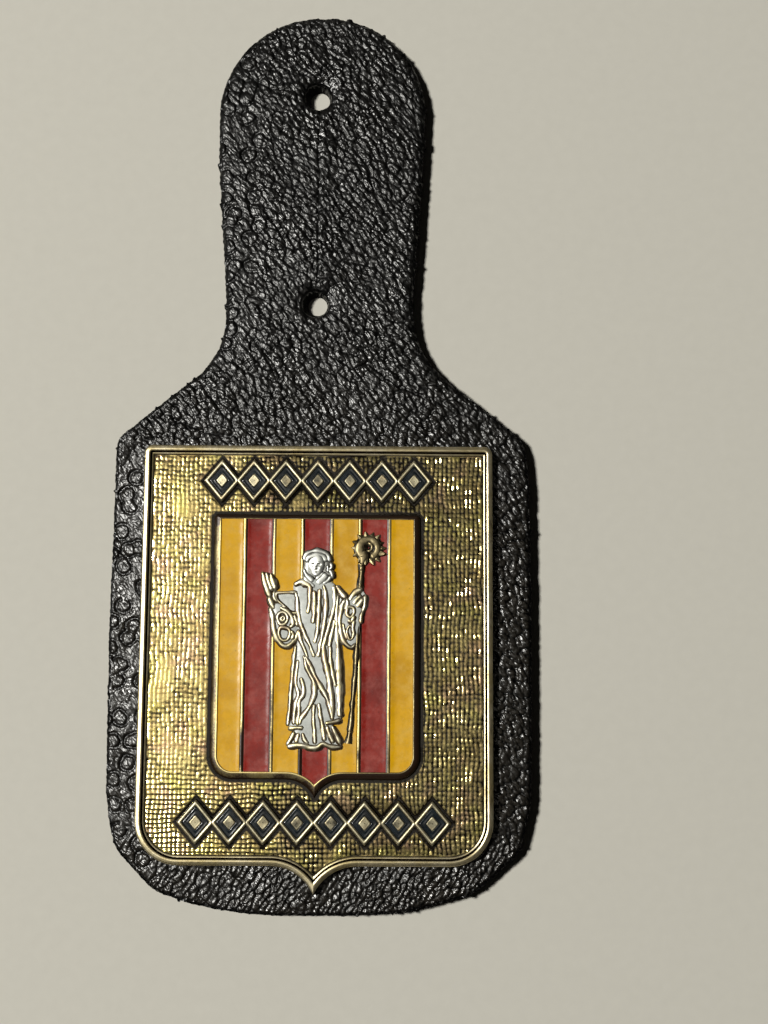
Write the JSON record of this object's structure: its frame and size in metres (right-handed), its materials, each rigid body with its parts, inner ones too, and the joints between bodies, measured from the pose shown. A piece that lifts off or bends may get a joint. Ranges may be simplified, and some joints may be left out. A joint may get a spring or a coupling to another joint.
{
  "type": "enamelled police badge on a leather pocket fob",
  "caption": "Shield-shaped brass badge with striped enamel and a robed figure, on a black leather pocket fob with a slit for a button.",
  "frame": {"origin": "centre of the fob's outline on the surface it lies on, at the back of the leather", "axes": "+Y along the strap towards its round head, +Z out of the badge's face, +X to the right as the face is read"},
  "size_m": [0.043, 0.095, 0.0048],
  "materials": {
    "leather": "black pebbled leather, semi-gloss, with a raw cut edge",
    "brass": "worn antiqued brass",
    "yellow_enamel": "glossy opaque yellow enamel",
    "red_enamel": "glossy red enamel",
    "dark_enamel": "glossy blue-black enamel",
    "white_enamel": "glossy grey-white enamel",
    "silvered_metal": "worn silvered metal",
    "staff_brass": "dark antiqued brass"
  },
  "bodies": {
    "root": {"leather_fob": "leather", "badge_plate": "brass", "enamel_yellow_1": "yellow_enamel", "enamel_yellow_2": "yellow_enamel", "enamel_yellow_3": "yellow_enamel", "enamel_yellow_4": "yellow_enamel", "enamel_red_1": "red_enamel", "enamel_red_2": "red_enamel", "enamel_red_3": "red_enamel", "enamel_dark_top_1": "dark_enamel", "enamel_dark_top_2": "dark_enamel", "enamel_dark_top_3": "dark_enamel", "enamel_dark_top_4": "dark_enamel", "enamel_dark_top_5": "dark_enamel", "enamel_dark_top_6": "dark_enamel", "enamel_dark_top_7": "dark_enamel", "enamel_dark_low_1": "dark_enamel", "enamel_dark_low_2": "dark_enamel", "enamel_dark_low_3": "dark_enamel", "enamel_dark_low_4": "dark_enamel", "enamel_dark_low_5": "dark_enamel", "enamel_dark_low_6": "dark_enamel", "enamel_dark_low_7": "dark_enamel", "enamel_dark_low_8": "dark_enamel", "figure": "silvered_metal", "staff": "staff_brass", "white_robe": "white_enamel", "white_sleeve_1": "white_enamel", "white_sleeve_2": "white_enamel", "white_book": "white_enamel"}
  },
  "joints": []
}
